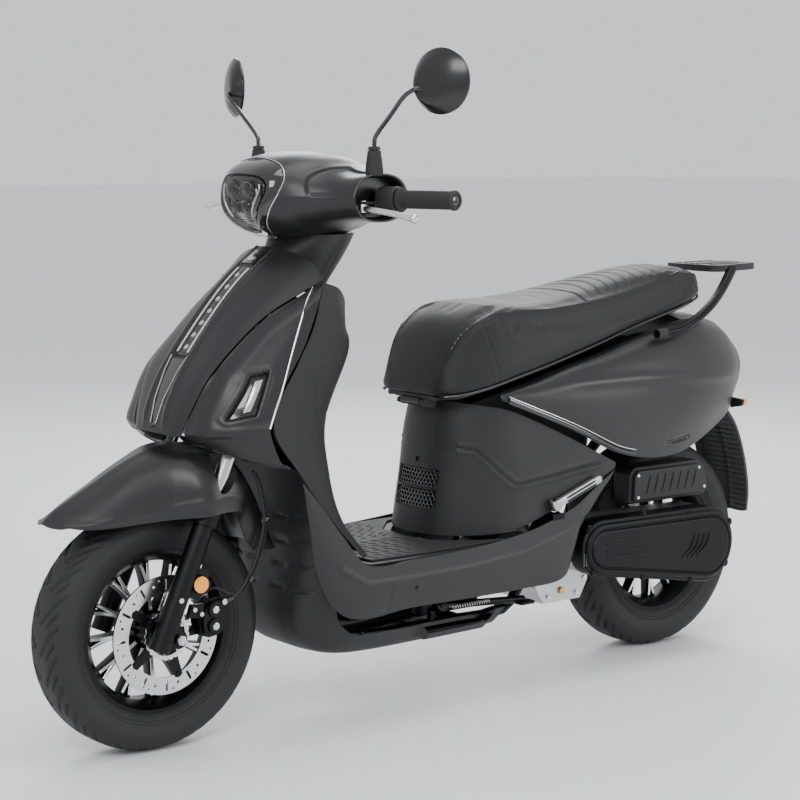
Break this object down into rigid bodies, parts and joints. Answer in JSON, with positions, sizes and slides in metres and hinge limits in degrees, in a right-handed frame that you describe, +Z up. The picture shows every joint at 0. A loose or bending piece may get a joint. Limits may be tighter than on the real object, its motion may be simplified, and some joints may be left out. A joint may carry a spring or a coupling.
{
  "type": "moped scooter",
  "caption": "Step-through moped scooter: steered fork and bars, hinged seat over a bucket, belt-drive engine unit on a swinging pivot, rear shock, rack, mirrors, stand and folding pegs.",
  "frame": {"origin": "on the ground under the middle of the bounding box, on the centre plane", "axes": "+X towards the rear, +Y towards the rider's right, +Z up; the front wheel is at -X"},
  "size_m": [1.8545, 0.793, 1.314],
  "materials": {
    "body_paint": "satin dark graphite paint on plastic",
    "trim_black": "fine-grained black plastic",
    "gloss_black": "polished black plastic",
    "frame_black": "black paint on steel",
    "black_alloy": "black paint on cast aluminium",
    "cast_alloy": "cast aluminium",
    "bright_steel": "bright steel",
    "mat_rubber": "black rubber",
    "tyre_rubber": "black tyre rubber",
    "seat_vinyl": "grained black vinyl",
    "clear_lens": "clear moulded plastic",
    "red_lens": "red moulded plastic"
  },
  "bodies": {
    "body": {"main_frame": "frame_black", "front_apron": "body_paint", "front_lamps": "clear_lens", "leg_shields": "body_paint", "inner_shield": "trim_black", "floorboard": "trim_black", "floor_mat": "mat_rubber", "side_skirts": "body_paint", "belly_pan": "trim_black", "underseat_cover": "trim_black", "side_covers": "body_paint", "rear_lamps": "red_lens", "rear_mudguard": "trim_black", "grab_rail": "trim_black", "storage_bucket": "trim_black", "fuel_tank": "frame_black", "battery": "trim_black", "body_bolts": "bright_steel"},
    "lock": {"ignition_lock": "bright_steel"},
    "seat": {"seat_cushion": "seat_vinyl", "seat_base": "trim_black"},
    "stand": {"side_stand": "frame_black"},
    "left_peg": {"peg_left": "cast_alloy"},
    "right_peg": {"peg_right": "cast_alloy"},
    "steering": {"steering_stem": "bright_steel", "handlebar": "frame_black", "headlight_cowl": "body_paint", "headlight_lens": "clear_lens", "headlight_unit": "trim_black", "instrument_cluster": "gloss_black", "grip_left": "mat_rubber", "switch_housings": "trim_black", "mirror_stems": "frame_black", "front_fender": "body_paint"},
    "throttle": {"throttle_grip": "mat_rubber"},
    "left_lever": {"brake_lever_left": "cast_alloy"},
    "right_lever": {"brake_lever_right": "cast_alloy"},
    "starter": {"starter_button": "gloss_black"},
    "horn": {"horn_button": "gloss_black"},
    "turn": {"turn_switch": "gloss_black"},
    "left_mirror": {"mirror_left": "gloss_black"},
    "right_mirror": {"mirror_right": "gloss_black"},
    "fork": {"fork_lowers": "black_alloy", "front_caliper": "black_alloy", "brake_hose": "mat_rubber"},
    "front_wheel": {"front_tyre": "tyre_rubber", "front_rim": "black_alloy", "front_disc": "bright_steel"},
    "engine": {"engine_case": "cast_alloy", "cvt_cover": "black_alloy", "airbox": "trim_black", "exhaust": "frame_black", "drive_belt": "mat_rubber"},
    "drive_pulley": {"variator": "cast_alloy"},
    "driven_pulley": {"clutch_pulley": "bright_steel"},
    "rear_wheel": {"rear_tyre": "tyre_rubber", "rear_rim": "black_alloy"},
    "shock_body": {"shock_upper": "frame_black", "shock_spring": "frame_black"},
    "shock_rod": {"shock_lower": "cast_alloy"}
  },
  "joints": [
    {"name": "key_turn", "type": "hinge", "parent": "body", "child": "lock", "pos_m": [-0.33, 0.085, 0.79], "axis": [1, 0, 0], "range_deg": [0, 60]},
    {"name": "seat_hinge", "type": "hinge", "parent": "body", "child": "seat", "pos_m": [-0.058, 0, 0.614], "axis": [0, -1, 0], "range_deg": [0, 68]},
    {"name": "side_stand_pivot", "type": "hinge", "parent": "body", "child": "stand", "pos_m": [-0.096, -0.14, 0.211], "axis": [-0.032, 0.9056, -0.4228], "range_deg": [0, 97.5]},
    {"name": "left_peg_fold", "type": "hinge", "parent": "body", "child": "left_peg", "pos_m": [0.185, -0.178, 0.392], "axis": [0.3256, 0, -0.9455], "range_deg": [0, 85]},
    {"name": "right_peg_fold", "type": "hinge", "parent": "body", "child": "right_peg", "pos_m": [0.185, 0.178, 0.392], "axis": [-0.3256, 0, 0.9455], "range_deg": [0, 85]},
    {"name": "steering", "type": "hinge", "parent": "body", "child": "steering", "pos_m": [-0.68, 0, 0.2295], "axis": [0.4147, 0, 0.91], "range_deg": [-38, 38]},
    {"name": "throttle_twist", "type": "hinge", "parent": "steering", "child": "throttle", "pos_m": [-0.26461, 0.26406, 1.03482], "axis": [0.2419, 0.9703, 0], "range_deg": [0, 70], "stiffness_Nm_per_rad": 0.8, "springref_deg": -17.19},
    {"name": "left_lever_pivot", "type": "hinge", "parent": "steering", "child": "left_lever", "pos_m": [-0.3303, -0.1949, 1.01782], "axis": [0, 0, 1], "range_deg": [0, 17], "stiffness_Nm_per_rad": 6, "springref_deg": -11.46},
    {"name": "right_lever_pivot", "type": "hinge", "parent": "steering", "child": "right_lever", "pos_m": [-0.3303, 0.1949, 1.01782], "axis": [0, 0, -1], "range_deg": [0, 17], "stiffness_Nm_per_rad": 6, "springref_deg": -11.46},
    {"name": "starter_press", "type": "slide", "parent": "steering", "child": "starter", "axis": [-0.9703, 0.2419, 0], "range_m": [0, 0.0022], "stiffness_N_per_m": 1200, "springref_m": -0.001},
    {"name": "horn_press", "type": "slide", "parent": "steering", "child": "horn", "axis": [-0.9703, -0.2419, 0], "range_m": [0, 0.0022], "stiffness_N_per_m": 1200, "springref_m": -0.001},
    {"name": "turn_slide", "type": "slide", "parent": "steering", "child": "turn", "axis": [-0.2419, 0.9703, 0], "range_m": [-0.005, 0.005]},
    {"name": "left_mirror_turn", "type": "hinge", "parent": "steering", "child": "left_mirror", "pos_m": [-0.284, -0.314, 1.239], "axis": [0, 0, 1], "range_deg": [-10, 10]},
    {"name": "right_mirror_turn", "type": "hinge", "parent": "steering", "child": "right_mirror", "pos_m": [-0.284, 0.314, 1.239], "axis": [0, 0, 1], "range_deg": [-10, 10]},
    {"name": "fork_travel", "type": "slide", "parent": "steering", "child": "fork", "axis": [0.4147, 0, 0.91], "range_m": [-0.015, 0.06], "stiffness_N_per_m": 15000, "springref_m": -0.03},
    {"name": "front_wheel_spin", "type": "hinge", "parent": "fork", "child": "front_wheel", "pos_m": [-0.7, 0, 0.2295], "axis": [0, 1, 0], "continuous": true},
    {"name": "engine_swing", "type": "hinge", "parent": "body", "child": "engine", "pos_m": [0.235, 0, 0.34], "axis": [0, -1, 0], "range_deg": [-2, 6], "stiffness_Nm_per_rad": 3000, "springref_deg": -2.29},
    {"name": "variator_spin", "type": "hinge", "parent": "engine", "child": "drive_pulley", "pos_m": [0.331, 0, 0.28], "axis": [0, 1, 0], "continuous": true},
    {"name": "clutch_spin", "type": "hinge", "parent": "engine", "child": "driven_pulley", "pos_m": [0.65, 0, 0.25], "axis": [0, 1, 0], "continuous": true},
    {"name": "rear_wheel_spin", "type": "hinge", "parent": "engine", "child": "rear_wheel", "pos_m": [0.63, 0, 0.2365], "axis": [0, 1, 0], "continuous": true},
    {"name": "shock_tilt", "type": "hinge", "parent": "body", "child": "shock_body", "pos_m": [0.64, 0.098, 0.64], "axis": [0, -1, 0], "range_deg": [-0.7, 1.8]},
    {"name": "shock_stroke", "type": "slide", "parent": "shock_body", "child": "shock_rod", "axis": [-0.193, 0, 0.9812], "range_m": [-0.017, 0.049], "deforming": ["shock_spring"]}
  ],
  "couplings": [
    {"joint": "clutch_spin", "follows": "variator_spin", "ratio": 0.5},
    {"joint": "shock_tilt", "follows": "engine_swing", "ratio": 0.28},
    {"joint": "shock_stroke", "follows": "engine_swing", "m_per_rad": 0.4575}
  ]
}
